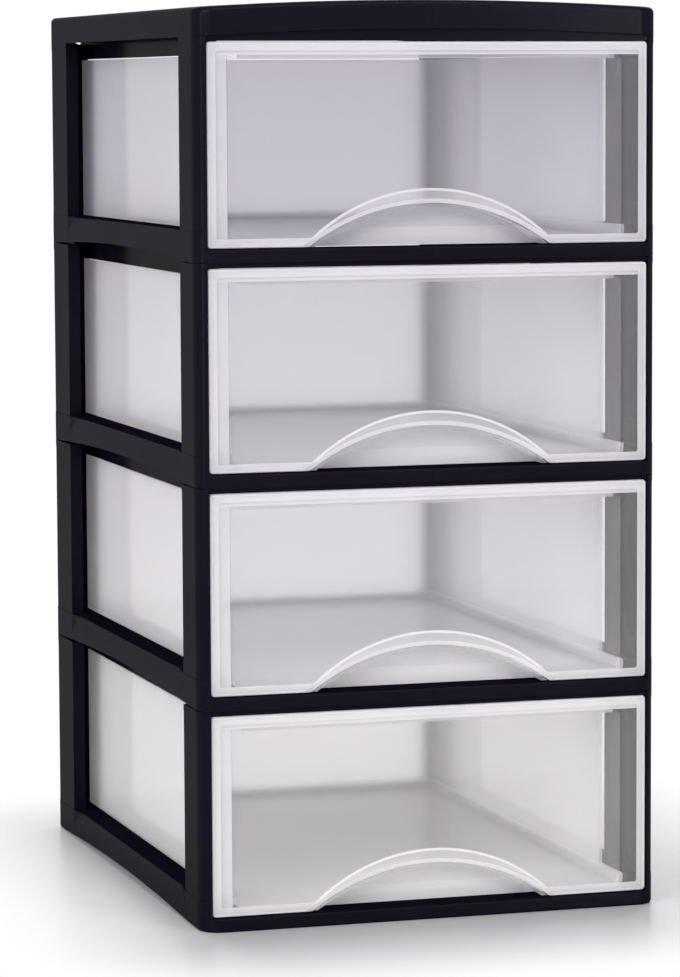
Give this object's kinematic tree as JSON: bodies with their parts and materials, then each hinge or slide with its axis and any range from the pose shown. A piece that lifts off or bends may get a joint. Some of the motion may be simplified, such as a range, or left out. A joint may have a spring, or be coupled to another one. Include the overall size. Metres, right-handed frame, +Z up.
{
  "type": "letter tray stack with drawers",
  "caption": "Free-standing desk tower of sliding clear trays in an open black frame with windowed sides and a crowned cover, for A4 paper.",
  "frame": {"origin": "middle of the footprint, on the surface that the tower stands on", "axes": "+X right, +Y to the back (the drawers open towards -Y), +Z up"},
  "size_m": [0.26, 0.345, 0.4962],
  "materials": {
    "black_plastic": "glossy injection-moulded black polystyrene",
    "clear_plastic": "clear, slightly milky injection-moulded plastic"
  },
  "bodies": {
    "tower": {"base_frame": "black_plastic", "left_side_frame_1": "black_plastic", "right_side_frame_1": "black_plastic", "divider_frame_2": "black_plastic", "left_side_frame_2": "black_plastic", "right_side_frame_2": "black_plastic", "divider_frame_3": "black_plastic", "left_side_frame_3": "black_plastic", "right_side_frame_3": "black_plastic", "divider_frame_4": "black_plastic", "left_side_frame_4": "black_plastic", "right_side_frame_4": "black_plastic", "top_cover": "black_plastic"},
    "drawer_1": {"drawer_1": "clear_plastic"},
    "drawer_2": {"drawer_2": "clear_plastic"},
    "drawer_3": {"drawer_3": "clear_plastic"},
    "drawer_4": {"drawer_4": "clear_plastic"}
  },
  "joints": [
    {"name": "drawer_1_slide", "type": "slide", "parent": "tower", "child": "drawer_1", "axis": [0, -1, 0], "range_m": [0, 0.25]},
    {"name": "drawer_2_slide", "type": "slide", "parent": "tower", "child": "drawer_2", "axis": [0, -1, 0], "range_m": [0, 0.25]},
    {"name": "drawer_3_slide", "type": "slide", "parent": "tower", "child": "drawer_3", "axis": [0, -1, 0], "range_m": [0, 0.25]},
    {"name": "drawer_4_slide", "type": "slide", "parent": "tower", "child": "drawer_4", "axis": [0, -1, 0], "range_m": [0, 0.25]}
  ]
}
